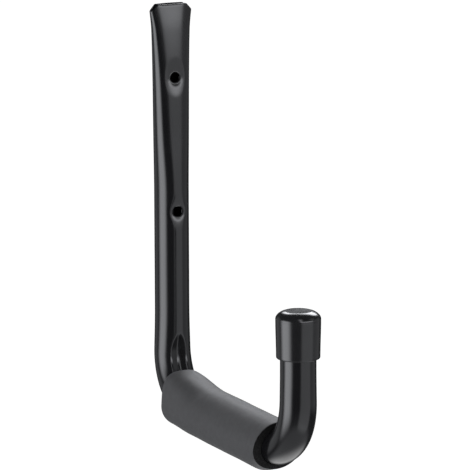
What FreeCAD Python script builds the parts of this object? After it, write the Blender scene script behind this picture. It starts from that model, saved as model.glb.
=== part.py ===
"""Garage utility hook: a bent steel tube, a foam sleeve on its arm and a push-on cap on its tip.

Frame, in millimetres: the bar of the hook stands on the Z axis with +Z up, the arm reaches along -Y,
and the plane x = 0 is the plane of the bends. The origin is half-way between the two screw holes.
The wall is the plane that touches the back of the round bar, on the +Y side.
"""
import FreeCAD, Part
import math
import os

import Sketcher

# Driving dimensions: alias, value in millimetres (degrees where the note says so), note
SIZES = [
    ("tube_diameter", 19.6, "outside of the round tube"),
    ("tube_wall", 1.2, "wall of the tube"),
    ("bar_bend", 28.5, "centre line of the bend at the foot of the bar"),
    ("tip_bend", 31.0, "centre line of the bend at the tip"),
    ("reach", 160.0, "axis of the bar to axis of the tip"),
    ("arm_drop", 108.5, "lower screw hole down to the axis of the arm"),
    ("tip_height", 78.2, "axis of the arm up to the cut end of the tip"),
    ("hole_pitch", 76.0, "between the two screw holes"),
    ("hole_diameter", 6.0, "both screw holes"),
    ("top_margin", 41.2, "upper screw hole up to the cut top of the bar"),
    ("corner_cut", 4.5, "both corners of the flattened top"),
    ("cut_margin", 2.0, "how far a cutting shape stands clear of what it cuts"),
    ("squeeze_start", 10.0, "lower screw hole up to where the bar starts to flatten"),
    ("flare_length", 15.0, "last stretch below the top, which flattens fastest"),
    ("mid_spread", 0.8, "gain in width half-way to the upper hole"),
    ("mid_pinch", 2.4, "loss of depth half-way to the upper hole"),
    ("mid_groove", 0.1, "groove in front and back half-way to the upper hole"),
    ("hole_spread", 1.9, "gain in width at the upper hole"),
    ("hole_pinch", 5.6, "loss of depth at the upper hole"),
    ("hole_groove", 0.3, "groove in front and back at the upper hole"),
    ("flare_spread", 3.4, "gain in width where the flare starts"),
    ("flare_pinch", 9.0, "loss of depth where the flare starts"),
    ("flare_groove", 0.5, "groove in front and back where the flare starts"),
    ("top_spread", 6.8, "gain in width at the top"),
    ("top_pinch", 12.0, "loss of depth at the top"),
    ("top_groove", 0.8, "groove in front and back at the top"),
    ("lip_angle", 75.0, "degrees: where the round sides end on the round section"),
    ("groove_angle", 82.5, "degrees: where the groove starts on the round section"),
    ("low_dent_width", 11.0, "pressed seat round the lower hole"),
    ("low_dent_height", 18.0, "pressed seat round the lower hole"),
    ("low_dent_depth", 1.8, "pressed seat round the lower hole"),
    ("high_dent_width", 12.0, "pressed seat round the upper hole"),
    ("high_dent_height", 20.0, "pressed seat round the upper hole"),
    ("high_dent_depth", 1.9, "pressed seat round the upper hole"),
    ("bend_dent_depth", 2.0, "how far the inside of the lower bend is pressed in"),
    ("bend_dent_radius", 7.0, "hollow across the inside of the lower bend"),
    ("foam_wall", 5.1, "wall of the foam sleeve"),
    ("foam_clearance", 0.3, "between the tube and the foam"),
    ("foam_front", 6.0, "front end of the foam, past the start of the tip's bend, on the arm's axis"),
    ("foam_back", 11.5, "back end of the foam, past the start of the bar's bend, on the arm's axis"),
    ("front_lean", 10.0, "degrees: forward lean of the foam's front end"),
    ("back_lean", 6.0, "degrees: forward lean of the foam's back end"),
    ("cap_clearance", 0.2, "between the tube and the inside of the cap"),
    ("cap_wall", 2.3, "side wall of the cap below its shoulder"),
    ("cap_taper", 0.4, "how much the cap's wall thins towards its rim"),
    ("cap_top", 2.8, "thickness of the cap's top, which sits on the end of the tube"),
    ("cap_depth", 23.0, "how far the cap covers the tube"),
    ("cap_shoulder", 4.2, "rounding between the side and the flat top of the cap"),
]

# Heights that several sub-parts share, written from the cells
LOWER_HOLE = "(-Sizes.hole_pitch / 2)"
UPPER_HOLE = "(Sizes.hole_pitch / 2)"
BAR_TOP = f"({UPPER_HOLE} + Sizes.top_margin)"
SQUEEZE_LOW = f"({LOWER_HOLE} + Sizes.squeeze_start)"
ARM_DEPTH = "(Sizes.hole_pitch / 2 + Sizes.arm_drop)"
TUBE_RADIUS = "(Sizes.tube_diameter / 2)"
FOAM_BORE = f"({TUBE_RADIUS} + Sizes.foam_clearance)"
FOAM_RADIUS = f"({FOAM_BORE} + Sizes.foam_wall)"
CAP_BORE = f"({TUBE_RADIUS} + Sizes.cap_clearance)"

START, END, CENTRE = range(1, 4)
H_AXIS, V_AXIS = range(-1, -3, -1)
ORIGIN = (H_AXIS, START)

doc = FreeCAD.newDocument("UtilityHook")


def make_sheet():
    """The spreadsheet that holds every driving dimension."""
    cells = doc.addObject("Spreadsheet::Sheet", "Sizes")
    for row, (alias, value, note) in enumerate(SIZES, start=1):
        cells.set(f"A{row}", str(value))
        cells.setAlias(f"A{row}", alias)
        cells.set(f"B{row}", note)
    doc.recompute()
    return cells


sheet = make_sheet()


def number(expression):
    """The present value of an expression, for a sketch's first guess."""
    return float(sheet.evalExpression(expression.replace("Sizes.", "")))


def new_body(name):
    return doc.addObject("PartDesign::Body", name)


def new_sketch(body, name, plane, **offsets):
    """A sketch on one of its body's origin planes, moved by expressions such as z="Sizes.reach"."""
    sketch = body.newObject("Sketcher::SketchObject", name)
    support = [f for f in body.Origin.OriginFeatures if f.Role == plane][0]
    sketch.AttachmentSupport = [(support, "")]
    sketch.MapMode = "FlatFace"
    for axis, expression in offsets.items():
        sketch.setExpression(f"AttachmentOffset.Base.{axis}", expression)
    return sketch


def point(x, y):
    return FreeCAD.Vector(x, y, 0)


def add_line(sketch, start, end):
    return sketch.addGeometry(Part.LineSegment(point(*start), point(*end)), False)


def add_circle(sketch, centre, radius):
    return sketch.addGeometry(Part.Circle(point(*centre), FreeCAD.Vector(0, 0, 1), radius), False)


def add_arc(sketch, centre, start, end):
    """An arc that runs anticlockwise about its centre from start to end."""
    from_centre = [(p[0] - centre[0], p[1] - centre[1]) for p in (start, end)]
    angles = [math.atan2(y, x) for x, y in from_centre]
    circle = Part.Circle(point(*centre), FreeCAD.Vector(0, 0, 1), math.hypot(*from_centre[0]))
    return sketch.addGeometry(Part.ArcOfCircle(circle, *angles), False)


def bind(sketch, kind, *where, to):
    """A dimension of a sketch that follows an expression."""
    index = sketch.addConstraint(Sketcher.Constraint(kind, *where, number(to)))
    sketch.setExpression(f"Constraints[{index}]", to)


def join(sketch, kind, *where):
    sketch.addConstraint(Sketcher.Constraint(kind, *where))


def squeezed_joints(width, depth, groove, inset):
    """Expressions for one flattened section, given by its whole width, its depth at the lips and its groove.

    The sides are half circles, and an S of two equal arcs leads from each crest into the groove.
    The joints are the crest and the middle of the S in the quadrant where x and y are positive.
    """
    crest = f"(({width}) / 2 - ({depth}) / 2)"
    turn = f"(({crest}^2 + {groove}^2) / (4 * {groove}))"
    return {
        "side_x": crest,
        "crest": (crest, f"({depth} - 2 * {inset}) / 2"),
        "groove": (
            f"{crest} / 2 * (1 + {inset} / {turn})",
            f"({depth} - {groove}) / 2 - {inset} * (1 - {groove} / (2 * {turn}))",
        ),
        "lip_radius": f"{turn} - {inset}",
        "groove_radius": f"{turn} + {inset}",
        "hollow": 1,
    }


def round_joints(inset):
    """The same joints on the round tube, where all the arcs lie on one circle."""
    radius = f"({TUBE_RADIUS} - {inset})"
    on_circle = [
        (f"{radius} * cos({angle})", f"{radius} * sin({angle})")
        for angle in ("Sizes.lip_angle", "Sizes.groove_angle")
    ]
    return {
        "side_x": "0",
        "crest": on_circle[0],
        "groove": on_circle[1],
        "lip_radius": radius,
        "groove_radius": radius,
        "hollow": -1,
    }


def arc_centre(start, end, radius):
    """Centre of the arc of this radius that runs anticlockwise from start to end, less than half a turn."""
    half = ((end[0] - start[0]) / 2, (end[1] - start[1]) / 2)
    rise = math.sqrt(radius**2 - half[0] ** 2 - half[1] ** 2) / math.hypot(*half)
    return start[0] + half[0] - half[1] * rise, start[1] + half[1] + half[0] * rise


def draw_section(body, name, height, joints):
    """A closed section of eight arcs across the bar: two sides, four lips, and a groove in front and back."""
    sketch = new_sketch(body, name, "XY_Plane", z=height)
    crest = [number(e) for e in joints["crest"]]
    groove = [number(e) for e in joints["groove"]]
    side_x, lip, valley = (number(joints[k]) for k in ("side_x", "lip_radius", "groove_radius"))

    def at(joint, sx, sy):
        return joint[0] * sx, joint[1] * sy

    right = add_arc(sketch, (side_x, 0), at(crest, 1, -1), at(crest, 1, 1))
    left = add_arc(sketch, (-side_x, 0), at(crest, -1, 1), at(crest, -1, -1))
    lips = {}
    for sx, sy in ((1, 1), (-1, 1), (-1, -1), (1, -1)):
        ends = [at(crest, sx, sy), at(groove, sx, sy)]
        if sx * sy < 0:
            ends.reverse()
        lips[sx, sy] = add_arc(sketch, arc_centre(*ends, lip), *ends)
    valleys = {}
    for sy in (1, -1):
        ends = [at(groove, -sy * joints["hollow"], sy), at(groove, sy * joints["hollow"], sy)]
        valleys[sy] = add_arc(sketch, arc_centre(*ends, valley), *ends)

    def lip_end(sx, sy, joint):
        first = START if (joint == "crest") == (sx * sy > 0) else END
        return lips[sx, sy], first

    def valley_end(sx, sy):
        return valleys[sy], START if sx == -sy * joints["hollow"] else END

    for sx, sy in lips:
        side = right if sx > 0 else left
        join(sketch, "Coincident", side, END if sx == sy else START, *lip_end(sx, sy, "crest"))
        join(sketch, "Coincident", *lip_end(sx, sy, "groove"), *valley_end(sx, sy))
    for joint in ("crest", "groove"):
        bind(sketch, "DistanceX", *ORIGIN, *lip_end(1, 1, joint), to=joints[joint][0])
        bind(sketch, "DistanceY", *ORIGIN, *lip_end(1, 1, joint), to=joints[joint][1])
        join(sketch, "Symmetric", *lip_end(1, 1, joint), *lip_end(-1, 1, joint), V_AXIS)
        join(sketch, "Symmetric", *lip_end(1, 1, joint), *lip_end(1, -1, joint), H_AXIS)
        join(sketch, "Symmetric", *lip_end(-1, 1, joint), *lip_end(-1, -1, joint), H_AXIS)
    bind(sketch, "DistanceX", *ORIGIN, right, CENTRE, to=joints["side_x"])
    bind(sketch, "DistanceX", left, CENTRE, *ORIGIN, to=joints["side_x"])
    bind(sketch, "Radius", lips[1, 1], to=joints["lip_radius"])
    for corner in ((-1, 1), (-1, -1), (1, -1)):
        join(sketch, "Equal", lips[1, 1], lips[corner])
    bind(sketch, "Radius", valleys[1], to=joints["groove_radius"])
    join(sketch, "Equal", valleys[1], valleys[-1])
    return sketch


def draw_bend_path(body, name):
    """The tube's centre line in the plane x = 0: bar, lower bend, arm, tip bend and tip."""
    sketch = new_sketch(body, name, "YZ_Plane")
    low, far, reach = (number(f"Sizes.{size}") for size in ("bar_bend", "tip_bend", "reach"))
    arm = -number(ARM_DEPTH)
    bar_foot = (0, arm + low)
    arm_back = (-low, arm)
    arm_front = (far - reach, arm)
    tip_foot = (-reach, arm + far)
    bar = add_line(sketch, (0, number(SQUEEZE_LOW)), bar_foot)
    bar_bend = add_arc(sketch, (-low, arm + low), arm_back, bar_foot)
    along = add_line(sketch, arm_back, arm_front)
    tip_bend = add_arc(sketch, (far - reach, arm + far), tip_foot, arm_front)
    tip = add_line(sketch, tip_foot, (-reach, arm + number("Sizes.tip_height")))
    join(sketch, "Tangent", bar, END, bar_bend, END)
    join(sketch, "Tangent", tip_bend, START, tip, START)
    join(sketch, "Vertical", bar)
    join(sketch, "Vertical", tip)
    join(sketch, "PointOnObject", bar, START, V_AXIS)
    bind_arm(sketch, bar_bend, along, tip_bend)
    bind(sketch, "DistanceY", along, START, bar, START, to="Sizes.arm_drop + Sizes.squeeze_start")
    bind(sketch, "DistanceY", along, START, tip, END, to="Sizes.tip_height")
    bind(sketch, "DistanceX", tip, END, bar, START, to="Sizes.reach")
    return sketch


def bind_arm(sketch, bar_bend, along, tip_bend):
    """Joins the arm to both bends, and gives the arm its height and the bends their radii."""
    join(sketch, "Tangent", bar_bend, START, along, START)
    join(sketch, "Tangent", along, END, tip_bend, END)
    join(sketch, "Horizontal", along)
    bind(sketch, "Radius", bar_bend, to="Sizes.bar_bend")
    bind(sketch, "Radius", tip_bend, to="Sizes.tip_bend")
    bind(sketch, "DistanceY", along, START, *ORIGIN, to=ARM_DEPTH)


def draw_rings(body, name, plane, radii, **offsets):
    """Circles about the sketch's origin, one for each radius."""
    sketch = new_sketch(body, name, plane, **offsets)
    for radius in radii:
        circle = add_circle(sketch, (0, 0), number(radius))
        join(sketch, "Coincident", circle, CENTRE, *ORIGIN)
        bind(sketch, "Radius", circle, to=radius)
    return sketch


def tube_body(name, inset):
    """The bent and flattened tube as a solid, with its surface set in by a wall or by nothing."""
    body = new_body(name)
    profile = draw_rings(body, f"{name}_round", "XY_Plane", [f"{TUBE_RADIUS} - {inset}"], z=SQUEEZE_LOW)
    pipe = body.newObject("PartDesign::AdditivePipe", f"{name}_bends")
    pipe.Profile = profile
    pipe.Spine = (draw_bend_path(body, f"{name}_path"), [])
    doc.recompute()

    def squeezed(stage):
        width = f"(Sizes.tube_diameter + Sizes.{stage}_spread)"
        depth = f"(Sizes.tube_diameter - Sizes.{stage}_pinch)"
        return squeezed_joints(width, depth, f"Sizes.{stage}_groove", inset)

    stations = [
        ("start", SQUEEZE_LOW, round_joints(inset)),
        ("mid", f"({SQUEEZE_LOW} + {UPPER_HOLE}) / 2", squeezed("mid")),
        ("hole", UPPER_HOLE, squeezed("hole")),
        ("flare", f"{BAR_TOP} - Sizes.flare_length", squeezed("flare")),
        ("top", BAR_TOP, squeezed("top")),
    ]
    sections = [draw_section(body, f"{name}_{stage}", z, joints) for stage, z, joints in stations]
    doc.recompute()
    loft = body.newObject("PartDesign::AdditiveLoft", f"{name}_flattened")
    loft.Profile = sections[0]
    loft.Sections = sections[1:]
    doc.recompute()
    return body


def press(body, name, y, z, ring, pipe):
    """Presses a hollow into the tube with a torus in the plane of the bends, round a place (y, z)."""
    punch = body.newObject("PartDesign::SubtractiveTorus", name)
    support = [f for f in body.Origin.OriginFeatures if f.Role == "YZ_Plane"][0]
    punch.AttachmentSupport = [(support, "")]
    punch.MapMode = "FlatFace"
    punch.setExpression("AttachmentOffset.Base.x", y)
    punch.setExpression("AttachmentOffset.Base.y", z)
    punch.setExpression("Radius1", ring)
    punch.setExpression("Radius2", pipe)
    doc.recompute()


def press_dent(body, size, height, front, thickness):
    """A dent in the front of the bar round a screw hole, thickened for the inside of the wall."""
    depth = f"Sizes.{size}_depth"
    along = f"((Sizes.{size}_height^2 / 4 + {depth}^2) / (2 * {depth}))"
    across = f"((Sizes.{size}_width^2 / 4 + {depth}^2) / (2 * {depth}))"
    y = f"-({front} - {depth} + {along})"
    press(body, f"{body.Name}_{size}", y, height, f"{along} - {across}", f"{across} + {thickness}")


def press_bend(body, thickness):
    """The inside of the lower bend, pressed in by the round former that the tube is bent over."""
    height = f"Sizes.bar_bend - {ARM_DEPTH}"
    ring = f"Sizes.bar_bend - {TUBE_RADIUS} + Sizes.bend_dent_depth - Sizes.bend_dent_radius"
    pipe = f"Sizes.bend_dent_radius + {thickness}"
    press(body, f"{body.Name}_bend_dent", "-Sizes.bar_bend", height, ring, pipe)


def press_dents(body, thickness):
    upper_front = "(Sizes.tube_diameter - Sizes.hole_pinch) / 2"
    press_dent(body, "low_dent", LOWER_HOLE, TUBE_RADIUS, thickness)
    press_dent(body, "high_dent", UPPER_HOLE, upper_front, thickness)
    press_bend(body, thickness)


def cut_through(body, sketch, name):
    """Cuts a sketch's shapes right through the body, to both sides of the sketch."""
    volume = body.Shape.Volume
    pocket = body.newObject("PartDesign::Pocket", name)
    pocket.Profile = sketch
    pocket.SideType = "Symmetric"
    pocket.Type = "ThroughAll"
    doc.recompute()
    if not body.Shape.Volume < volume:
        raise RuntimeError(f"{name} cuts nothing")


def cut_screw_holes(body):
    """Both screw holes, straight through the front and back walls."""
    sketch = new_sketch(body, "screw_holes", "XZ_Plane")
    radius = "Sizes.hole_diameter / 2"
    upper = add_circle(sketch, (0, number(UPPER_HOLE)), number(radius))
    lower = add_circle(sketch, (0, number(LOWER_HOLE)), number(radius))
    join(sketch, "PointOnObject", upper, CENTRE, V_AXIS)
    join(sketch, "Symmetric", upper, CENTRE, lower, CENTRE, *ORIGIN)
    join(sketch, "Equal", upper, lower)
    bind(sketch, "DistanceY", lower, CENTRE, upper, CENTRE, to="Sizes.hole_pitch")
    bind(sketch, "Radius", upper, to=radius)
    cut_through(body, sketch, "screw_hole_cut")


def cut_top_corners(body):
    """Cuts both corners of the flattened top at 45 degrees, with triangles that stand clear of the tube."""
    half_width = "(Sizes.tube_diameter + Sizes.top_spread) / 2"
    sketch = new_sketch(body, "top_corners", "XZ_Plane")
    outer_x = f"({half_width} + Sizes.cut_margin)"
    upper_z = f"({BAR_TOP} + Sizes.cut_margin)"
    leg = "(Sizes.corner_cut + 2 * Sizes.cut_margin)"
    corner = (number(outer_x), number(upper_z))
    size = number(leg)
    triangles = []
    for side in (1, -1):
        outer = (side * corner[0], corner[1])
        inner = (side * (corner[0] - size), corner[1])
        low = (side * corner[0], corner[1] - size)
        triangles.append([add_line(sketch, *ends) for ends in ((inner, outer), (outer, low), (low, inner))])
    for top, upright, slope in triangles:
        join(sketch, "Coincident", top, END, upright, START)
        join(sketch, "Coincident", upright, END, slope, START)
        join(sketch, "Coincident", slope, END, top, START)
        join(sketch, "Horizontal", top)
        join(sketch, "Vertical", upright)
        join(sketch, "Equal", top, upright)
    right, left = triangles
    bind(sketch, "DistanceX", *ORIGIN, right[0], END, to=outer_x)
    bind(sketch, "DistanceY", *ORIGIN, right[0], END, to=upper_z)
    bind(sketch, "DistanceX", right[0], START, right[0], END, to=leg)
    join(sketch, "Symmetric", right[0], END, left[0], END, V_AXIS)
    join(sketch, "Equal", right[0], left[0])
    cut_through(body, sketch, "corner_cut")


def make_hook_tube():
    """The tube: a solid skin with its dents, corners and holes, less the bore that follows it inside."""
    skin = tube_body("skin", "0")
    press_dents(skin, "0")
    cut_top_corners(skin)
    cut_screw_holes(skin)
    bore = tube_body("bore", "Sizes.tube_wall")
    press_dents(bore, "Sizes.tube_wall")
    tube = doc.addObject("Part::Cut", "hook_tube")
    tube.Base = skin
    tube.Tool = bore
    return tube


def make_foam_sleeve():
    """The foam: a thick ring that follows the arm and both bends, cut off nearly upright at both ends."""
    body = new_body("foam_sleeve")
    tip_foot = f"(Sizes.tip_bend - {ARM_DEPTH})"
    rings = draw_rings(body, "foam_rings", "XY_Plane", [FOAM_RADIUS, FOAM_BORE], y="-Sizes.reach", z=tip_foot)
    pipe = body.newObject("PartDesign::AdditivePipe", "foam_pipe")
    pipe.Profile = rings
    pipe.Spine = (draw_foam_path(body), [])
    doc.recompute()
    trim_foam(body, "foam_front_cut", -1, "(Sizes.tip_bend - Sizes.reach - Sizes.foam_front)", "front")
    trim_foam(body, "foam_back_cut", 1, "(Sizes.foam_back - Sizes.bar_bend)", "back")
    return body


def draw_foam_path(body):
    """The stretch of the tube's centre line from the top of the tip's bend to the top of the bar's bend."""
    sketch = new_sketch(body, "foam_path", "YZ_Plane")
    low, far, reach = (number(f"Sizes.{size}") for size in ("bar_bend", "tip_bend", "reach"))
    arm = -number(ARM_DEPTH)
    arm_back = (-low, arm)
    arm_front = (far - reach, arm)
    tip_bend = add_arc(sketch, (far - reach, arm + far), (-reach, arm + far), arm_front)
    along = add_line(sketch, arm_back, arm_front)
    bar_bend = add_arc(sketch, (-low, arm + low), arm_back, (0, arm + low))
    bind_arm(sketch, bar_bend, along, tip_bend)
    join(sketch, "PointOnObject", bar_bend, END, V_AXIS)
    join(sketch, "Horizontal", bar_bend, CENTRE, bar_bend, END)
    join(sketch, "Horizontal", tip_bend, CENTRE, tip_bend, START)
    bind(sketch, "DistanceX", tip_bend, START, *ORIGIN, to="Sizes.reach")
    return sketch


def trim_foam(body, name, side, plane_y, end):
    """Cuts the foam off beyond a leaning plane, in front of it (side -1) or behind it (side 1)."""
    sketch = new_sketch(body, f"{name}_shape", "YZ_Plane", x=plane_y, y=f"-{ARM_DEPTH}")
    bend = {"front": "Sizes.tip_bend", "back": "Sizes.bar_bend"}[end]
    lean = f"tan(Sizes.{end}_lean)"
    low = f"({FOAM_RADIUS} + Sizes.cut_margin)"
    high = f"({bend} + Sizes.cut_margin)"
    far = f"({bend} - Sizes.foam_{end} + {low})"
    x_low, x_high, x_far = number(f"{low} * {lean}"), -number(f"{high} * {lean}"), side * number(far)
    bottom, top = -number(low), number(high)
    corners = [(x_low, bottom), (x_high, top), (x_far, top), (x_far, bottom)]
    plane, upper, upright, lower = [add_line(sketch, corners[i], corners[(i + 1) % 4]) for i in range(4)]
    for first, second in ((plane, upper), (upper, upright), (upright, lower), (lower, plane)):
        join(sketch, "Coincident", first, END, second, START)
    join(sketch, "Horizontal", upper)
    join(sketch, "Vertical", upright)
    join(sketch, "Horizontal", lower)
    bind(sketch, "DistanceX", *ORIGIN, plane, START, to=f"{low} * {lean}")
    bind(sketch, "DistanceX", plane, END, *ORIGIN, to=f"{high} * {lean}")
    bind(sketch, "DistanceY", plane, START, *ORIGIN, to=low)
    bind(sketch, "DistanceY", *ORIGIN, plane, END, to=high)
    across = (*ORIGIN, upright, END) if side > 0 else (upright, END, *ORIGIN)
    bind(sketch, "DistanceX", *across, to=far)
    cut_through(body, sketch, name)


def make_end_cap():
    """The cap: a cup turned about the tip's axis, with a rounded shoulder and a flat top."""
    body = new_body("end_cap")
    seat = "(Sizes.tip_height - Sizes.hole_pitch / 2 - Sizes.arm_drop)"
    sketch = new_sketch(body, "cap_profile", "YZ_Plane", x="-Sizes.reach", y=seat)
    bore, wall = number(CAP_BORE), number("Sizes.cap_wall")
    depth, top = number("Sizes.cap_depth"), number("Sizes.cap_top")
    shoulder, taper = number("Sizes.cap_shoulder"), number("Sizes.cap_taper")
    outside = bore + wall
    corners = [
        (0, 0),
        (bore, 0),
        (bore, -depth),
        (outside - taper, -depth),
        (outside, top - shoulder),
        (outside - shoulder, top),
        (0, top),
    ]
    lines = {}
    for i in (0, 1, 2, 3, 5, 6):
        lines[i] = add_line(sketch, corners[i], corners[(i + 1) % 7])
    lines[4] = add_arc(sketch, (outside - shoulder, top - shoulder), corners[4], corners[5])
    for i in range(7):
        join(sketch, "Coincident", lines[i], END, lines[(i + 1) % 7], START)
    for i in (0, 2, 5):
        join(sketch, "Horizontal", lines[i])
    for i in (1, 6):
        join(sketch, "Vertical", lines[i])
    join(sketch, "Coincident", lines[0], START, *ORIGIN)
    bind(sketch, "DistanceX", *ORIGIN, lines[0], END, to=CAP_BORE)
    bind(sketch, "DistanceY", lines[1], END, lines[1], START, to="Sizes.cap_depth")
    bind(sketch, "DistanceX", lines[2], START, lines[2], END, to="Sizes.cap_wall - Sizes.cap_taper")
    bind(sketch, "DistanceX", *ORIGIN, lines[4], START, to=f"{CAP_BORE} + Sizes.cap_wall")
    bind(sketch, "DistanceY", *ORIGIN, lines[5], END, to="Sizes.cap_top")
    bind(sketch, "Radius", lines[4], to="Sizes.cap_shoulder")
    join(sketch, "Vertical", lines[4], CENTRE, lines[5], START)
    join(sketch, "Horizontal", lines[4], CENTRE, lines[4], START)
    turn = body.newObject("PartDesign::Revolution", "cap_turned")
    turn.Profile = sketch
    turn.ReferenceAxis = (sketch, ["V_Axis"])
    doc.recompute()
    return body


def write_parts(sub_parts):
    """Checks every object and every shape, then writes one file for each sub-part."""
    doc.recompute()
    failed = [o.Name for o in doc.Objects if "Invalid" in o.State or "Error" in o.State]
    if failed:
        raise RuntimeError(f"failed objects: {failed}")
    for sub_part in sub_parts:
        shape = sub_part.Shape
        if shape.isNull() or not shape.isValid() or len(shape.Solids) != 1:
            raise RuntimeError(f"{sub_part.Label} has no single valid solid")
    os.makedirs("parts", exist_ok=True)
    for sub_part in sub_parts:
        sub_part.Shape.exportStep(f"parts/{sub_part.Label}.step")
        print(sub_part.Label, round(sub_part.Shape.Volume, 1), sub_part.Shape.BoundBox)


write_parts([make_hook_tube(), make_foam_sleeve(), make_end_cap()])
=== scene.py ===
"""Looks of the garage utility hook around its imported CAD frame: glossy tube, foam sleeve and push-on cap.

Shapes are worked out in millimetres in the CAD frame: the bar stands on the Z axis, the arm reaches
along -Y, and the plane x = 0 is the plane of the bends. Meshes are written in metres.
"""
import math

import bpy
import numpy as np
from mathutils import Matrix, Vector


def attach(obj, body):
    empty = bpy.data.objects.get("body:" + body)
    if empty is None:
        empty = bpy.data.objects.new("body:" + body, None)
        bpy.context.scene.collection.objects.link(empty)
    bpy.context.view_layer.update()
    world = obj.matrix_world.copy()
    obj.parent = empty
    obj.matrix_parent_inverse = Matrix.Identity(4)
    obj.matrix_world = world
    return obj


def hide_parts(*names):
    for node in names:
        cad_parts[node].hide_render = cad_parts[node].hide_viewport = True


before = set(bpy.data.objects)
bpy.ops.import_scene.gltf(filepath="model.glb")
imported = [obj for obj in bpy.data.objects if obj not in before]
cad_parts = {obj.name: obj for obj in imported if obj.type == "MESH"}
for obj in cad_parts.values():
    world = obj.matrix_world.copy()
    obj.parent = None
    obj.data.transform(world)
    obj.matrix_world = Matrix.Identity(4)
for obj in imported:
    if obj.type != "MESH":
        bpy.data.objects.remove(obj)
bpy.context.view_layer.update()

MM = 0.001

# Sizes of the solids, as in the part's source
TUBE_RADIUS = 9.8
TUBE_WALL = 1.2
BAR_BEND = 28.5
TIP_BEND = 31.0
REACH = 160.0
ARM_Z = -146.5
TIP_END = -68.3
BAR_TOP = 79.2
HOLE_Z = 38.0
HOLE_RADIUS = 3.0
CORNER_CUT = 4.5

# The squeezed top of the bar at five heights: gain in width and loss of depth; its faces stay curved
SQUEEZE_Z = [-28.0, 5.0, 38.0, 64.2, 79.2]
SPREAD = [0.0, 1.0, 1.9, 3.4, 6.8]
PINCH = [0.0, 3.0, 5.6, 9.0, 12.0]
FACE_TURN = math.radians(22.0)

# Pressed seats round the screw holes: height, width, length, depth; each deepens towards its hole
DENTS = [(-38.0, 13.0, 21.0, 0.9), (38.0, 14.0, 24.0, 0.9)]
SEAT_RADIUS = 5.5
SEAT_DEPTH = 0.9

# The valley pressed along the inside of the lower bend
BEND_DENT_DEPTH = 3.2
BEND_DENT_SLOPE = 0.5
BEND_DENT_ROUND = 0.4
BEND_DENT_LOW = 1.5
BEND_DENT_BLEND = 0.7

FOAM_RADIUS = 15.2
FOAM_FRONT_Y = -135.0
FOAM_BACK_Y = -17.0
FRONT_LEAN = 10.0
BACK_LEAN = 6.0

CAP_BORE = 10.0
CAP_RADIUS = 12.3
CAP_TAPER = 0.4
CAP_TOP = 2.8
CAP_DEPTH = 23.0
CAP_SHOULDER = 4.2

# Distances along the tube's centre line from the top of the bar
BAR_LENGTH = BAR_TOP - ARM_Z - BAR_BEND
ARM_START = BAR_LENGTH + math.pi / 2 * BAR_BEND
ARM_END = ARM_START + REACH - BAR_BEND - TIP_BEND
TIP_START = ARM_END + math.pi / 2 * TIP_BEND
TUBE_LENGTH = TIP_START + TIP_END - ARM_Z - TIP_BEND

# Both bends are wider than the round tube: gain in width, where along the tube it starts and over what
# length, and where it ends and over what length
BEND_OVALS = [
    (0.11, BAR_LENGTH - 25.0, 45.0, ARM_START + 20.0, 40.0),
    (0.06, ARM_END, 20.0, TIP_START + 20.0, 40.0),
]
OVAL_FLATNESS = 0.3


# Curves and sections

def smooth_curve(xs, ys, x):
    """A smooth curve through the points, flat before the first one, with no overshoot."""
    xs, ys = np.array(xs), np.array(ys)
    steps = np.diff(ys) / np.diff(xs)
    inner = 2 * steps[:-1] * steps[1:] / (steps[:-1] + steps[1:] + 1e-12)
    slopes = np.concatenate([[0.0], inner, steps[-1:]])
    x = np.clip(x, xs[0], xs[-1])
    i = np.clip(np.searchsorted(xs, x) - 1, 0, len(xs) - 2)
    h = xs[i + 1] - xs[i]
    t = (x - xs[i]) / h
    return (
        ys[i] * (1 + 2 * t) * (1 - t) ** 2
        + ys[i + 1] * t**2 * (3 - 2 * t)
        + h * (slopes[i] * t * (1 - t) ** 2 - slopes[i + 1] * t**2 * (1 - t))
    )


def ease(t):
    t = np.clip(t, 0.0, 1.0)
    return t * t * (3 - 2 * t)


def soft_min(a, b, width):
    """The lesser of two heights, with the crease between them rounded off."""
    h = np.clip(0.5 + 0.5 * (b - a) / width, 0.0, 1.0)
    return b * (1 - h) + a * h - width * h * (1 - h)


def squeezed(z):
    """The bar's oval at heights: half depth, radius of its faces, and radius and centre of its sides."""
    half_depth = TUBE_RADIUS - smooth_curve(SQUEEZE_Z, PINCH, z) / 2
    half_width = TUBE_RADIUS + smooth_curve(SQUEEZE_Z, SPREAD, z) / 2
    lean = math.tan(FACE_TURN / 2)
    side = (half_depth - half_width * lean) / (math.cos(FACE_TURN) - lean * (1 - math.sin(FACE_TURN)))
    middle = half_width - side
    return half_depth, side + middle / math.sin(FACE_TURN), side, middle


def dented(x, z, height):
    """The height of the bar's front with a soft dimple pressed in round each screw hole."""
    for dent_z, width, length, depth in DENTS:
        away = (2 * x / width) ** 2 + (2 * (z - dent_z) / length) ** 2
        near = (x**2 + (z - dent_z) ** 2) / SEAT_RADIUS**2
        height = height - depth * np.maximum(1 - away, 0.0) ** 2
        height = height - SEAT_DEPTH * np.maximum(1 - near, 0.0) ** 2
    return height


def bend_pressed(x, height, s):
    """Heights towards the inside of the bends, with a valley pressed along the inside of the lower bend."""
    wall = np.sqrt((BEND_DENT_SLOPE * x) ** 2 + BEND_DENT_ROUND**2) - BEND_DENT_ROUND
    reach = BAR_BEND - TUBE_RADIUS + BEND_DENT_DEPTH - wall
    beside = np.maximum(BAR_LENGTH + BEND_DENT_LOW - s, 0.0) + np.maximum(s - ARM_START, 0.0)
    limit = BAR_BEND - np.sqrt(np.maximum(reach**2 - beside**2, 0.0))
    return soft_min(height, limit, BEND_DENT_BLEND)


def bent(x, height, s):
    """A section of the tube as bending leaves it: wider, flatter and pressed in."""
    wider = oval(s)
    x = x * (1 + wider)
    return x, bend_pressed(x, height * (1 - OVAL_FLATNESS * wider), s)


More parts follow.
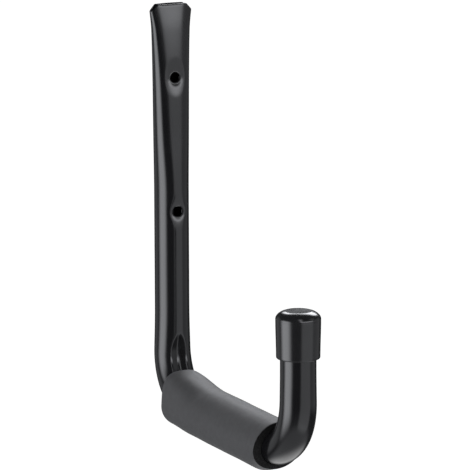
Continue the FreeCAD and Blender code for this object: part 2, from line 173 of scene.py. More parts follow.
def oval(s):
    """How much wider the tube is where it was bent."""
    wider = 0.0
    for gain, start, rise, end, fall in BEND_OVALS:
        wider = wider + gain * ease((s - start) / rise) * ease((end - s) / fall)
    return wider


def bar_section(u, z):
    """Across and forward of the bar's axis at a share u of the way round from the middle of its front."""
    half_depth, face, side, middle = squeezed(z)
    right = np.where((u + 0.5) % 1.0 < 0.5, -1.0, 1.0)
    turn = 2 * np.abs((u + 0.5) % 1.0 - 0.5)
    front = np.where(turn < 0.5, 1.0, -1.0)
    half_face = face * FACE_TURN
    run = np.minimum(turn, 1 - turn) * (2 * half_face + side * (np.pi - 2 * FACE_TURN))
    angle = np.where(run < half_face, run / face, FACE_TURN + (run - half_face) / side)
    on_face = angle < FACE_TURN
    x = np.where(on_face, face * np.sin(angle), middle + side * np.sin(angle))
    height = np.where(on_face, half_depth - face * (1 - np.cos(angle)), side * np.cos(angle))
    return right * x, front * height


def wall_height(x, z, front):
    """How far the bar's front, or its back, lies from its axis at a place (x, z)."""
    half_depth, face, side, middle = squeezed(z)
    away = np.abs(x)
    on_face = half_depth - face + np.sqrt(np.maximum(face**2 - away**2, 0.0))
    on_side = np.sqrt(np.maximum(side**2 - (away - middle) ** 2, 0.0))
    height = np.where(away < face * math.sin(FACE_TURN), on_face, on_side)
    return dented(x, z, height) if front else height


def centre_line(s):
    """Y, Z and the inward normal's Y, Z at distances along the tube."""
    first = np.clip((s - BAR_LENGTH) / BAR_BEND, 0, np.pi / 2)
    second = np.clip((s - ARM_END) / TIP_BEND, 0, np.pi / 2)
    on_arm = np.clip(s - ARM_START, 0, ARM_END - ARM_START)
    y = -BAR_BEND * (1 - np.cos(first)) - on_arm - TIP_BEND * np.sin(second)
    z = BAR_TOP - np.minimum(s, BAR_LENGTH) - BAR_BEND * np.sin(first)
    z = z + TIP_BEND * (1 - np.cos(second)) + np.maximum(s - TIP_START, 0)
    turn = first + second
    return y, z, -np.cos(turn), np.sin(turn)


def placed(x, height, s):
    """Points at x across and a height towards the inside of the bends, at distances along the tube."""
    y, z, ny, nz = centre_line(s)
    return np.stack(np.broadcast_arrays(x, y + height * ny, z + height * nz), axis=-1)


# Meshes

def add_object(name, data):
    """Puts a mesh, a lamp or a camera into the scene."""
    added = bpy.data.objects.new(name, data)
    bpy.context.scene.collection.objects.link(added)
    return added


class Shell:
    """Points and faces gathered as grids and strips, then written as one mesh."""

    def __init__(self):
        self.points = []
        self.faces = []
        self.count = 0

    def add(self, points):
        """Adds a ring or a grid of points and gives their numbers in the same layout."""
        points = np.asarray(points, float)
        numbers = self.count + np.arange(points.size // 3).reshape(points.shape[:-1])
        self.points.append(points.reshape(-1, 3))
        self.count += numbers.size
        return numbers

    def strip(self, first, second):
        """Quads between two closed rings of numbers."""
        a, b = np.roll(first, -1), np.roll(second, -1)
        self.faces.extend(zip(first.tolist(), a.tolist(), b.tolist(), second.tolist()))

    def strips(self, rings):
        for first, second in zip(rings, rings[1:]):
            self.strip(first, second)

    def grid(self, numbers, keep=None):
        """Quads of a grid that closes along its second axis; keep says which of them stay."""
        right = np.roll(numbers, -1, axis=1)
        quads = np.stack([numbers[:-1], right[:-1], right[1:], numbers[1:]], axis=-1)
        if keep is not None:
            quads = quads[keep]
        self.faces.extend(map(tuple, quads.reshape(-1, 4).tolist()))

    def fan(self, ring, centre):
        self.faces.extend((int(a), int(b), int(centre)) for a, b in zip(ring, np.roll(ring, -1)))

    def build(self, name, *materials):
        """Writes the mesh without unused points, shaded smooth."""
        points = np.concatenate(self.points)
        used = np.unique(np.concatenate([np.array(f) for f in self.faces]))
        place = np.full(len(points), -1)
        place[used] = np.arange(len(used))
        mesh = bpy.data.meshes.new(name)
        faces = [[int(place[i]) for i in face] for face in self.faces]
        mesh.from_pydata((points[used] * MM).tolist(), [], faces)
        mesh.validate()
        mesh.shade_smooth()
        for material in materials:
            mesh.materials.append(material)
        return add_object(name, mesh)


def use_second_material(polygons):
    for polygon in polygons:
        polygon.material_index = 1


def grid_normals(points):
    """Outward unit normals of a grid whose second axis closes on itself."""
    along = np.gradient(points, axis=0)
    around = (np.roll(points, -1, axis=1) - np.roll(points, 1, axis=1)) / 2
    normals = np.cross(along, around)
    return normals / np.linalg.norm(normals, axis=-1, keepdims=True)


# Tube

COLUMNS = 96
HOLE_RING = 4
PATCH_RING = 11
PATCH_STEP = 0.75
HOLE_RIM = 0.1
TOP_RIM = 0.3
CUT_FROM_Z = 62.0
CUT_ROUNDS = 4

# Rows of the mesh from mark to mark: the top, both holes, both ends of each bend and the end of the tip
ROW_COUNTS = [44, 80, 84, 44, 24, 44, 24]

# Rounded edges in shares of their rims: out from the hole and down, and in from the top's edge and down
HOLE_ROUNDING = [(0.6, 0.05), (0.2, 0.2), (0.0, 0.6)]
TOP_ROUNDING = [(0.3, 0.3), (1.0, 0.0), (TUBE_WALL / TOP_RIM - 0.5, 0.0)]


def tube_rows():
    """Distances along the tube from the bar's top, and the rows that pass through the screw holes."""
    holes = [BAR_TOP - HOLE_Z, BAR_TOP + HOLE_Z]
    marks = [0.0, *holes, BAR_LENGTH, ARM_START, ARM_END, TIP_START, TUBE_LENGTH]
    runs = [np.linspace(a, b, n, endpoint=False) for a, b, n in zip(marks, marks[1:], ROW_COUNTS)]
    return np.concatenate([*runs, marks[-1:]]), (ROW_COUNTS[0], ROW_COUNTS[0] + ROW_COUNTS[1])


class Hole:
    """A place where a screw hole goes through the front or the back wall of the bar."""

    def __init__(self, row, column, z):
        self.row = row
        self.column = column
        self.z = z
        self.front = column == 0
        self.side = 1 if self.front else -1

    def block(self, size):
        """Offsets and grid places of the points within so many steps of the hole's middle."""
        for i in range(-size, size + 1):
            for j in range(-size, size + 1):
                yield i, j, (self.row + i, (self.column + j) % COLUMNS)

    def draw_in(self, x, z):
        """Draws the grid in round the hole until one ring of its quads lies on the hole's edge."""
        for i, j, at in self.block(PATCH_RING):
            ring = max(abs(i), abs(j))
            if ring < HOLE_RING:
                continue
            if abs(j) >= abs(i):
                angle = math.pi / 4 * i / j
                across, down = np.sign(j) * math.cos(angle), np.sign(j) * math.sin(angle)
            else:
                angle = math.pi / 4 * j / i
                across, down = np.sign(i) * math.sin(angle), np.sign(i) * math.cos(angle)
            size = HOLE_RADIUS + HOLE_RIM + (ring - HOLE_RING) * PATCH_STEP
            blend = ease((ring - HOLE_RING) / (PATCH_RING - HOLE_RING))
            x[at] = (1 - blend) * self.side * size * across + blend * x[at]
            z[at] = (1 - blend) * (self.z - size * down) + blend * z[at]

    def ring(self):
        """Rows and columns of the points on the hole's edge, in order round it."""
        n = HOLE_RING
        path = [(-n, j) for j in range(-n, n)] + [(i, n) for i in range(-n, n)]
        path += [(n, j) for j in range(n, -n, -1)] + [(i, -n) for i in range(n, -n, -1)]
        rows, columns = np.array(path).T
        return self.row + rows, (self.column + columns) % COLUMNS

    def edge(self, away, radius, drop):
        """Points round the hole at a radius, set in from the wall's outside by a drop."""
        x, z = radius * away[:, 0], self.z + radius * away[:, 1]
        return np.stack([x, -self.side * (wall_height(x, z, self.front) - drop), z], axis=-1)


def cut_top(rows, u):
    """Heights of the bar's points: the top rows end on the cut, which slopes at both corners."""
    shoulder = TUBE_RADIUS + SPREAD[-1] / 2 - CORNER_CUT
    share = np.clip((rows - CUT_FROM_Z) / (BAR_TOP - CUT_FROM_Z), 0.0, 1.0)[:, None]
    z = np.repeat(rows[:, None], COLUMNS, axis=1)
    for _ in range(CUT_ROUNDS):
        x, _ = bar_section(u, z[:1])
        cut = BAR_TOP - np.maximum(np.abs(x) - shoulder, 0.0)
        z = np.where(share > 0, CUT_FROM_Z + share * (cut - CUT_FROM_Z), rows[:, None])
    return z


def bar_skin(s, holes):
    """The outside of the bar: squeezed at the top, with its seats, and drawn in round the screw holes."""
    u = np.arange(COLUMNS)[None, :] / COLUMNS
    plain_z = cut_top(BAR_TOP - s, u)
    plain_x, height = bar_section(u, plain_z)
    x, z = plain_x.copy(), plain_z.copy()
    for hole in holes:
        hole.draw_in(x, z)
    front = np.cos(2 * np.pi * u) > 0
    moved = (x != plain_x) | (z != plain_z)
    on_patch = np.where(front, wall_height(x, z, True), -wall_height(x, z, False))
    height = np.where(moved, on_patch, np.where(front, dented(x, z, height), height))
    x, height = bent(x, height, s[:, None])
    return np.stack([x, -height, z], axis=-1)


def round_skin(s):
    """The outside of the round tube past the bar."""
    angle = 2 * np.pi * np.arange(COLUMNS)[None, :] / COLUMNS
    x, height = bent(TUBE_RADIUS * np.sin(angle), TUBE_RADIUS * np.cos(angle), s[:, None])
    return placed(x, height, s[:, None])


def tube_mesh(material, inside):
    """The tube's skin and bore, with rounded cut edges and screw holes through both walls."""
    s, hole_rows = tube_rows()
    holes = [Hole(row, column, BAR_TOP - s[row]) for row in hole_rows for column in (0, COLUMNS // 2)]
    bar = s <= BAR_LENGTH
    skin = np.concatenate([bar_skin(s[bar], holes), round_skin(s[~bar])])
    normals = grid_normals(skin)
    bore = skin - TUBE_WALL * normals
    keep = np.ones((len(s) - 1, COLUMNS), bool)
    aways = []
    for hole in holes:
        for i, j, at in hole.block(HOLE_RING):
            if i < HOLE_RING and j < HOLE_RING:
                keep[at] = False
        ring = hole.ring()
        away = skin[ring][:, [0, 2]] - [0.0, hole.z]
        aways.append(away / np.linalg.norm(away, axis=1, keepdims=True))
        bore[ring] = hole.edge(aways[-1], HOLE_RADIUS, TUBE_WALL)
    top = skin[0].copy()
    skin[0] -= [0, 0, TOP_RIM]
    bore[0, :, 2] = top[:, 2] - TOP_RIM / 2

    shell = Shell()
    outer, inner = shell.add(skin), shell.add(bore)
    shell.grid(outer[:, ::-1], np.roll(keep[:, ::-1], -1, axis=1))
    coated = len(shell.faces)
    shell.grid(inner, keep)
    bare = len(shell.faces)
    for hole, away in zip(holes, aways):
        loops = [outer[hole.ring()]]
        for reach, drop in HOLE_ROUNDING:
            loops.append(shell.add(hole.edge(away, HOLE_RADIUS + HOLE_RIM * reach, HOLE_RIM * drop)))
        shell.strips([*loops, inner[hole.ring()]])
    level = normals[0] * [1, 1, 0]
    loops = [outer[0]]
    for inset, drop in TOP_ROUNDING:
        loops.append(shell.add(top - TOP_RIM * (level * inset + [0, 0, drop])))
    shell.strips([*loops, inner[0]])
    shell.strip(inner[-1], outer[-1])
    piece = shell.build("hook_tube_gloss", material, inside)
    use_second_material(piece.data.polygons[coated:bare])
    return piece


# Foam sleeve

FOAM_COLUMNS = 128
FOAM_ROWS = 72
FOAM_BORE_ROWS = 40
FOAM_EDGE_ROWS = 5
FOAM_CUT_RINGS = (0.1, 0.3, 0.5, 0.7, 0.9)
FOAM_EDGE = 0.3
FOAM_GRIP = 0.15
END_SEARCH = 20.0
END_HALVINGS = 40

# How the soft skin leaves the round: by how much, and over what length from its end
FRONT_LIFT, FRONT_LIFT_LENGTH = 2.7, 10.0
BACK_LIFT, BACK_LIFT_LENGTH = 1.3, 25.0
SWELL, SWELL_LENGTH = 4.1, 35.0
SQUARENESS = 1.7

# Slight unevenness of the skin: height of a wave, its turn per millimetre, its turns round and its start
SOFT_WAVES = [(0.05, 0.11, 2, 0.7), (0.03, 0.23, -3, 2.1)]
SOFT_LOSS = 0.08


def end_y(end, height):
    """Where an end of the foam, a plane that leans forward, lies at a height above the arm's axis."""
    y, lean = end
    return y - math.tan(math.radians(lean)) * height


FOAM_FRONT = FOAM_FRONT_Y, FRONT_LEAN
FOAM_BACK = FOAM_BACK_Y, BACK_LEAN


def bore_end(x, height, end, low, high):
    """Distances along the tube at which the lines of the foam's bore cross one of its ends."""
    low, high = np.full(np.shape(x), low), np.full(np.shape(x), high)
    for _ in range(END_HALVINGS):
        middle = (low + high) / 2
        _, y, z = np.moveaxis(placed(x, height, middle), -1, 0)
        past = y < end_y(end, z - ARM_Z)
        high = np.where(past, middle, high)
        low = np.where(past, low, middle)
    return (low + high) / 2


def foam_section(angle, radius, from_back, from_front):
    """The soft skin: drawn up underneath at both ends, raised at the back and squarer there on its left."""
    lift = FRONT_LIFT * ease(1 - from_front / FRONT_LIFT_LENGTH)
    lift = lift + BACK_LIFT * ease(1 - from_back / BACK_LIFT_LENGTH)
    swell = ease(1 - from_back / SWELL_LENGTH)
    radius = radius - SOFT_LOSS
    for wave, along, around, start in SOFT_WAVES:
        radius = radius + wave * np.sin(from_back * along + around * angle + start)
    across, up = np.sin(angle), np.cos(angle)
    power = np.where((up > 0) & (across < 0), 2 / (2 + SQUARENESS * swell), 1.0)
    across, up = np.sign(across) * np.abs(across) ** power, np.sign(up) * np.abs(up) ** power
    x, height = radius * across, radius * up
    return x, height - lift * np.minimum(height, 0.0) / FOAM_RADIUS + SWELL * swell * np.maximum(up, 0.0)


def foam_mesh(material, cut_material):
    """A thick sleeve along the arm, with its ends cut nearly upright round the tube's two bends."""
    angle = 2 * np.pi * np.arange(FOAM_COLUMNS) / FOAM_COLUMNS
    back = end_y(FOAM_BACK, foam_section(angle, FOAM_RADIUS, 0.0, REACH)[1])
    front = end_y(FOAM_FRONT, foam_section(angle, FOAM_RADIUS, REACH, 0.0)[1])
    span = back - front
    edge = FOAM_EDGE * (1 - np.cos(np.linspace(0, np.pi / 2, FOAM_EDGE_ROWS, endpoint=False)))
    start = np.repeat(edge[:, None], FOAM_COLUMNS, axis=1)
    body = FOAM_EDGE + np.linspace(0, 1, FOAM_ROWS)[:, None] * (span - 2 * FOAM_EDGE)
    from_back = np.concatenate([start, body, span - start[::-1]])
    from_front = span - from_back
    inset = np.maximum(FOAM_EDGE - np.minimum(from_back, from_front), 0.0)
    lost = FOAM_EDGE - np.sqrt(np.maximum(FOAM_EDGE**2 - inset**2, 0.0))
    x, height = foam_section(angle, FOAM_RADIUS - lost, from_back, from_front)
    skin = np.stack([x, back - from_back, ARM_Z + height], axis=-1)

    grip = TUBE_RADIUS + FOAM_GRIP
    x, height = grip * np.sin(angle), grip * np.cos(angle)
    first = bore_end(x, height, FOAM_BACK, BAR_LENGTH, ARM_START + END_SEARCH)
    last = bore_end(x, height, FOAM_FRONT, ARM_END - END_SEARCH, TIP_START)
    s = first + np.linspace(0, 1, FOAM_BORE_ROWS)[:, None] * (last - first)
    bore = placed(x * (1 + oval(s)), height * (1 - OVAL_FLATNESS * oval(s)), s)

    shell = Shell()
    outer, inner = shell.add(skin), shell.add(bore)
    shell.grid(outer[:, ::-1])
    shell.grid(inner)
    uncut = len(shell.faces)
    for row in (0, -1):
        rings = [outer[row]]
        for share in FOAM_CUT_RINGS:
            rings.append(shell.add(skin[row] + share * (bore[row] - skin[row])))
        rings.append(inner[row])
        if row == 0:
            rings.reverse()
        shell.strips(rings)
    piece = shell.build("foam_sleeve_soft", material, cut_material)
    # The cut ends take the near-black cut material, which is partly painted shade.
    use_second_material(piece.data.polygons[uncut:])
    return piece


# End cap

CAP_COLUMNS = 112
CAP_RIM = 0.8
CAP_INNER_RIM = 0.3
CAP_BEVEL = 0.8
CAP_BEVEL_DROP = 0.2
CAP_BEVEL_CURVE = 1.6
CAP_CREASE = 1.2
CAP_PRESS = 0.05
CAP_SIDE_ROWS = 16
CAP_SHOULDER_ROWS = 24
CAP_BEVEL_ROWS = 8
CAP_DISC_RINGS = (0.9, 0.6, 0.3)

# A faint seam below the shoulder: heights from the shoulder, and depths in shares of the seam's depth
CAP_SEAM = 0.04
CAP_SEAM_PROFILE = [(-0.75, 0.0), (-0.6, 0.7), (-0.5, 1.0), (-0.4, 0.7), (-0.25, 0.0)]
CAP_SEAM_ROOM = 1.3


def arc(centre, radius, start, end, count):
    """Points of a profile on an arc, as (radius, height), with angles in degrees."""
    angles = np.radians(np.linspace(start, end, count))
    return [(centre[0] + radius * math.cos(a), centre[1] + radius * math.sin(a)) for a in angles]


def cap_mesh(material):
    """A moulded cup turned about the tip: rounded rim, tapered side, soft shoulder and a flat top disc."""
    low = CAP_RADIUS - CAP_TAPER
    shoulder_z = CAP_TOP - CAP_SHOULDER
    disc = CAP_RADIUS - CAP_SHOULDER
    profile = [(CAP_BORE, -CAP_PRESS), (CAP_BORE, CAP_INNER_RIM - CAP_DEPTH)]
    profile += arc((CAP_BORE + CAP_INNER_RIM, CAP_INNER_RIM - CAP_DEPTH), CAP_INNER_RIM, 180, 270, 4)
    profile += arc((low - CAP_RIM, CAP_RIM - CAP_DEPTH), CAP_RIM, 270, 355, 9)
    for h in np.linspace(2 * CAP_RIM - CAP_DEPTH, shoulder_z - CAP_SEAM_ROOM, CAP_SIDE_ROWS):
        profile.append((low + CAP_TAPER * ease((h + CAP_DEPTH) / (CAP_DEPTH + shoulder_z)), h))
    for h, share in CAP_SEAM_PROFILE:
        profile.append((CAP_RADIUS - CAP_SEAM * share, shoulder_z + h))
    crease_z = CAP_TOP - CAP_BEVEL_DROP
    rest = CAP_SHOULDER - CAP_BEVEL_DROP - CAP_CREASE
    for turn in np.radians(np.linspace(90, 3, CAP_SHOULDER_ROWS)):
        drop = CAP_CREASE * math.sin(turn) + rest * (1 - math.cos(turn))
        profile.append((disc + CAP_SHOULDER * math.sin(turn), crease_z - drop))
    for share in np.linspace(1, 0, CAP_BEVEL_ROWS):
        profile.append((disc - CAP_BEVEL * (1 - share), CAP_TOP - CAP_BEVEL_DROP * share**CAP_BEVEL_CURVE))
    profile += [((disc - CAP_BEVEL) * share, CAP_TOP) for share in CAP_DISC_RINGS]
    radii, heights = np.array(profile).T
    angle = 2 * np.pi * np.arange(CAP_COLUMNS) / CAP_COLUMNS
    x, y = radii[:, None] * np.cos(angle), radii[:, None] * np.sin(angle) - REACH
    shell = Shell()
    cup = shell.add(np.stack(np.broadcast_arrays(x, y, TIP_END + heights[:, None]), axis=-1))
    top = shell.add([[0.0, -REACH, TIP_END + CAP_TOP]])[0]
    inside = shell.add([[0.0, -REACH, TIP_END - CAP_PRESS]])[0]
    shell.grid(cup)
    shell.fan(cup[-1], top)
    shell.fan(cup[0][::-1], inside)
    return shell.build("end_cap_moulded", material)


# Materials

COAT_GLOSS = 1.0


class Look:
    """A node material with its Principled shader, built up from procedural textures in object space."""

    def __init__(self, name):
        self.material = bpy.data.materials.new(name)
        self.material.use_nodes = True
        self.nodes = self.material.node_tree.nodes
        self.links = self.material.node_tree.links
        self.shader = self.nodes["Principled BSDF"]
        self.place = self.nodes.new("ShaderNodeTexCoord").outputs["Object"]

    def noise(self, scale, detail):
        texture = self.nodes.new("ShaderNodeTexNoise")
        texture.inputs["Scale"].default_value = scale
        texture.inputs["Detail"].default_value = detail
        self.links.new(self.place, texture.inputs["Vector"])
        return texture.outputs["Fac"]

    def cells(self, scale):
        texture = self.nodes.new("ShaderNodeTexVoronoi")
        texture.inputs["Scale"].default_value = scale
        self.links.new(self.place, texture.inputs["Vector"])
        return texture.outputs["Distance"]

    def colour(self, value, dark, light):
        """Lets the base colour vary between a darker and a lighter shade."""
        ramp = self.nodes.new("ShaderNodeValToRGB")
        for element, position, shade in zip(ramp.color_ramp.elements, (0.3, 0.7), (dark, light)):
            element.position = position
            element.color = (*shade, 1)
        self.links.new(value, ramp.inputs["Fac"])
        self.links.new(ramp.outputs["Color"], self.shader.inputs["Base Color"])

    def roughness(self, value, low, high):
        spread = self.nodes.new("ShaderNodeMapRange")
        for socket, number in (("From Min", 0.3), ("From Max", 0.7), ("To Min", low), ("To Max", high)):
            spread.inputs[socket].default_value = number
        self.links.new(value, spread.inputs["Value"])
        self.links.new(spread.outputs["Result"], self.shader.inputs["Roughness"])

    def bump(self, value, strength, distance):
        bump = self.nodes.new("ShaderNodeBump")
        bump.inputs["Strength"].default_value = strength
        bump.inputs["Distance"].default_value = distance
        self.links.new(value, bump.inputs["Height"])
        self.links.new(bump.outputs["Normal"], self.shader.inputs["Normal"])


def tube_material():
    """Glossy black coat with a faint orange peel."""
    look = Look("gloss_black_coat")
    look.colour(look.noise(60, 3), (0.005, 0.005, 0.006), (0.007, 0.007, 0.008))
    look.roughness(look.noise(90, 2), 0.16, 0.19)
    look.bump(look.noise(260, 1), 0.04, 0.0001)
    look.shader.inputs["Specular IOR Level"].default_value = COAT_GLOSS
    return look.material


def bore_material():
    """The dull, dark inside of the tube."""
    look = Look("tube_inside")
    look.colour(look.noise(80, 3), (0.008, 0.008, 0.008), (0.012, 0.012, 0.012))
    look.shader.inputs["Roughness"].default_value = 0.8
    look.shader.inputs["Specular IOR Level"].default_value = 0.1
    return look.material


def foam_material():
    """Matt grey closed-cell foam: fine cells, faint mottling and a soft sheen along its edges."""
    look = Look("grey_foam")
    look.colour(look.noise(260, 5), (0.070, 0.0705, 0.073), (0.082, 0.0825, 0.0855))
    look.roughness(look.noise(500, 3), 0.52, 0.60)
    look.bump(look.noise(1300, 3), 0.12, 0.0002)
    look.shader.inputs["Specular IOR Level"].default_value = 0.45
    look.shader.inputs["Sheen Weight"].default_value = 0.1
    return look.material


def cut_foam_material():
    """The cut ends of the foam, with open cells; their near-black colour is partly the cut foam's own
    darker tone and partly painted shade.
    """
    look = Look("cut_foam")
    cells = look.cells(1400)
    # Near-black cut ends: partly the cut cells' own tone, partly painted shade of the end faces.
    look.colour(cells, (0.016, 0.016, 0.016), (0.028, 0.028, 0.028))
    look.bump(cells, 0.4, 0.0003)
    look.shader.inputs["Roughness"].default_value = 0.95
    look.shader.inputs["Specular IOR Level"].default_value = 0.1
    return look.material


def cap_material():
    """Satin black vinyl."""
    look = Look("black_vinyl")
    look.colour(look.noise(120, 3), (0.010, 0.010, 0.011), (0.014, 0.014, 0.015))
    look.roughness(look.noise(110, 2), 0.18, 0.21)
    look.bump(look.noise(300, 2), 0.04, 0.0001)
    look.shader.inputs["Specular IOR Level"].default_value = COAT_GLOSS
    return look.material


# Stage, light and camera

CAMERA_TURN = 25.365
CAMERA_RISE = 11.67
CAMERA_ROLL = -0.17
CAMERA_DISTANCE = 2.4185
PIXELS_PER_M = 1800.0
FRAME_PIXELS = 470
AIM = Vector((0.0, -0.050, -0.0565))
AIM_PIXEL = (209.58, 256.86)
FLOOR_Z = -1.50
COOL_WHITE = (0.945, 0.96, 1.0)

# Softboxes: degrees right of the camera and above level, distance, width, height, fade at the sides and
# at the ends, brightness
SOFTBOXES = {
    "left_softbox": (-64, -7.8, 1.3, 1.85, 2.15, 0.7, 0.88, 2.42),
    "right_fill": (46, -21, 1.4, 1.8, 2.0, 0.3, 0.4, 0.5),
    "right_band": (46, 12.8, 1.4, 1.65, 0.6, 0.15, 0.3, 2.6),
    "right_key": (84, 36, 1.5, 0.9, 0.8, 0.3, 0.3, 0.35),
    "front_high": (16, 36, 1.5, 0.45, 1.9, 0.2, 0.4, 1.5),
    "back_right": (100, 0, 1.4, 1.7, 1.4, 0.3, 0.3, 0.22),
    "back_left": (-122, -5, 1.4, 1.2, 2.0, 0.3, 0.4, 0.24),
    "back_top": (168, 34.5, 1.5, 1.5, 0.9, 0.3, 0.3, 6.8),
}


def camera_axes():
    """Unit vectors of the view: towards the camera, to its right and up in the picture."""
    turn, rise = math.radians(CAMERA_TURN), math.radians(CAMERA_RISE)
    back = Vector((-math.sin(turn) * math.cos(rise), -math.cos(turn) * math.cos(rise), math.sin(rise)))
    right = Vector((math.cos(turn), -math.sin(turn), 0.0))
    return back, right, back.cross(right)


def add_camera():
    back, right, up = camera_axes()
    data = bpy.data.cameras.new("camera")
    data.sensor_width = 36.0
    data.lens = data.sensor_width * PIXELS_PER_M * CAMERA_DISTANCE / FRAME_PIXELS
    camera = add_object("camera", data)
    camera.location = AIM + CAMERA_DISTANCE * back
    aside = (FRAME_PIXELS / 2 - AIM_PIXEL[0]) / PIXELS_PER_M
    above = (AIM_PIXEL[1] - FRAME_PIXELS / 2) / PIXELS_PER_M
    target = AIM + aside * right + above * up
    camera.rotation_euler = (target - camera.location).to_track_quat("-Z", "Y").to_euler()
    camera.rotation_euler.rotate_axis("Z", math.radians(CAMERA_ROLL))
    bpy.context.scene.camera = camera


def from_camera(azimuth, elevation, distance):
    """A place round the hook: azimuth in degrees to the right of the camera, elevation above level."""
    back, right, up = camera_axes()
    a, e = math.radians(azimuth), math.radians(elevation)
    level = math.cos(a) * Vector((back.x, back.y, 0)).normalized() + math.sin(a) * right
    return AIM + distance * (math.cos(e) * level + math.sin(e) * Vector((0, 0, 1)))


def add_softbox(name, azimuth, elevation, distance, width, height, side_fade, end_fade, brightness):
    """An area light that faces the hook and shows in its gloss at the given brightness."""
    data = bpy.data.lights.new(name, "AREA")
    data.shape = "RECTANGLE"
    data.size = width
    data.size_y = height
    data.color = COOL_WHITE
    data.energy = brightness * math.pi * width * height
    soften_edges(data, side_fade / width, end_fade / height)
    light = add_object(name, data)
    light.location = from_camera(azimuth, elevation, distance)
    light.rotation_euler = (AIM - light.location).to_track_quat("-Z", "Y").to_euler()
    light.visible_camera = False


def smooth_step(nodes, links, value, near, far, near_level=0.0, far_level=1.0):
    """A level that changes smoothly while a value runs from near to far."""
    step = nodes.new("ShaderNodeMapRange")
    step.interpolation_type = "SMOOTHSTEP"
    levels = {"From Min": near, "From Max": far, "To Min": near_level, "To Max": far_level}
    for socket, number in levels.items():
        step.inputs[socket].default_value = number
    links.new(value, step.inputs["Value"])
    return step.outputs["Result"]


def soften_edges(data, side_share, end_share):
    """Lets a softbox fade towards its edges over these shares of its width and height."""
    data.use_nodes = True
    nodes, links = data.node_tree.nodes, data.node_tree.links
    place = nodes.new("ShaderNodeSeparateXYZ")
    links.new(nodes.new("ShaderNodeNewGeometry").outputs["Parametric"], place.inputs[0])
    level = nodes.new("ShaderNodeMath")
    level.operation = "MULTIPLY"
    for axis, share, factor in zip(("X", "Y"), (side_share, end_share), level.inputs):
        fold = nodes.new("ShaderNodeMath")
        fold.operation = "PINGPONG"
        fold.inputs[1].default_value = 0.5
        links.new(place.outputs[axis], fold.inputs[0])
        links.new(smooth_step(nodes, links, fold.outputs[0], 0.0, share), factor)
    links.new(level.outputs[0], nodes["Emission"].inputs["Strength"])


def stage_piece(name, points, faces):
    """A piece of the set with an empty node material of its own."""
    material = bpy.data.materials.new(name)
    material.use_nodes = True
    material.node_tree.nodes.clear()
    mesh = bpy.data.meshes.new(name)
    mesh.from_pydata(points, [], faces)
    mesh.materials.append(material)
    piece = add_object(name, mesh)
    return piece, material.node_tree.nodes, material.node_tree.links


def seen_rays(nodes, links):
    """A value of 1 for rays that show the background: from the camera, off gloss and through glass."""
    rays = nodes.new("ShaderNodeLightPath")
    seen = rays.outputs["Is Camera Ray"]
    for ray in ("Is Glossy Ray", "Is Transmission Ray"):
        most = nodes.new("ShaderNodeMath")
        most.operation = "MAXIMUM"
        links.new(seen, most.inputs[0])
        links.new(rays.outputs[ray], most.inputs[1])
        seen = most.outputs[0]
    return seen


def add_floor():
    """A wide pale floor that is white in the picture and in the gloss, and still takes a shadow."""
    reach = 30.0
    corners = [(reach * x, reach * y, FLOOR_Z) for x, y in ((-1, -1), (1, -1), (1, 1), (-1, 1))]
    piece, nodes, links = stage_piece("floor", corners, [(0, 1, 2, 3)])
    glow = nodes.new("ShaderNodeEmission")
    glow.inputs["Color"].default_value = (0.93, 0.93, 0.93, 1)
    links.new(seen_rays(nodes, links), glow.inputs["Strength"])
    paint = nodes.new("ShaderNodeBsdfDiffuse")
    paint.inputs["Color"].default_value = (0.5, 0.5, 0.5, 1)
    both = nodes.new("ShaderNodeAddShader")
    links.new(glow.outputs[0], both.inputs[0])
    links.new(paint.outputs[0], both.inputs[1])
    links.new(both.outputs[0], nodes.new("ShaderNodeOutputMaterial").inputs["Surface"])


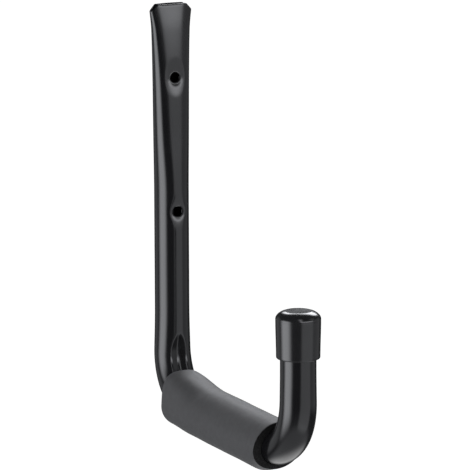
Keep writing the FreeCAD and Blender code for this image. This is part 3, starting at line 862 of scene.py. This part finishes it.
def add_dark_room():
    """Dim studio round the set, seen only in the gloss; the pale floor shows through it behind the hook."""
    radius, top, count = 1.8, 1.8, 48
    base = FLOOR_Z + 0.01
    angles = [2 * math.pi * k / count for k in range(count)]
    points = [(radius * math.cos(a), radius * math.sin(a), z) for z in (base, top) for a in angles]
    walls = [(k, (k + 1) % count, count + (k + 1) % count, count + k) for k in range(count)]
    lids = [tuple(range(count)), tuple(range(count, 2 * count))]
    room, nodes, links = stage_piece("studio_walls", points, walls + lids)
    place = nodes.new("ShaderNodeNewGeometry").outputs["Position"]

    def by_distance(centre, **steps):
        """A level that changes smoothly with the distance from a place on the floor."""
        away = nodes.new("ShaderNodeVectorMath")
        away.operation = "DISTANCE"
        away.inputs[1].default_value = (*centre, base)
        links.new(place, away.inputs[0])
        return smooth_step(nodes, links, away.outputs["Value"], **steps)

    glow = nodes.new("ShaderNodeEmission")
    glow.inputs["Color"].default_value = COOL_WHITE + (1,)
    brightness = by_distance((0.0, -0.15), near=1.0, far=1.9, near_level=0.36, far_level=0.05)
    links.new(brightness, glow.inputs["Strength"])
    mix = nodes.new("ShaderNodeMixShader")
    links.new(by_distance((0.5, 0.7), near=0.4, far=1.1), mix.inputs[0])
    links.new(nodes.new("ShaderNodeBsdfTransparent").outputs[0], mix.inputs[1])
    links.new(glow.outputs[0], mix.inputs[2])
    links.new(mix.outputs[0], nodes.new("ShaderNodeOutputMaterial").inputs["Surface"])
    room.visible_camera = False
    room.visible_diffuse = False
    room.visible_shadow = False
    room.visible_transmission = False


def add_world():
    """Dim light from all round, behind a white background."""
    world = bpy.data.worlds.new("studio")
    world.use_nodes = True
    nodes, links = world.node_tree.nodes, world.node_tree.links
    level = nodes.new("ShaderNodeMapRange")
    level.inputs["To Min"].default_value = 0.25
    level.inputs["To Max"].default_value = 1.0
    links.new(seen_rays(nodes, links), level.inputs["Value"])
    nodes["Background"].inputs["Color"].default_value = (1, 1, 1, 1)
    links.new(level.outputs["Result"], nodes["Background"].inputs["Strength"])
    bpy.context.scene.world = world


bpy.context.scene.view_settings.view_transform = "Standard"
pieces = {
    "hook_tube": (tube_mesh(tube_material(), bore_material()), "tube_coat"),
    "foam_sleeve": (foam_mesh(foam_material(), cut_foam_material()), "foam"),
    "end_cap": (cap_mesh(cap_material()), "cap"),
}
for node, (piece, slot) in pieces.items():
    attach(piece, "root")
    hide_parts(node)

add_floor()
add_dark_room()
add_world()
add_camera()
for name, place in SOFTBOXES.items():
    add_softbox(name, *place)

bpy.context.view_layer.update()
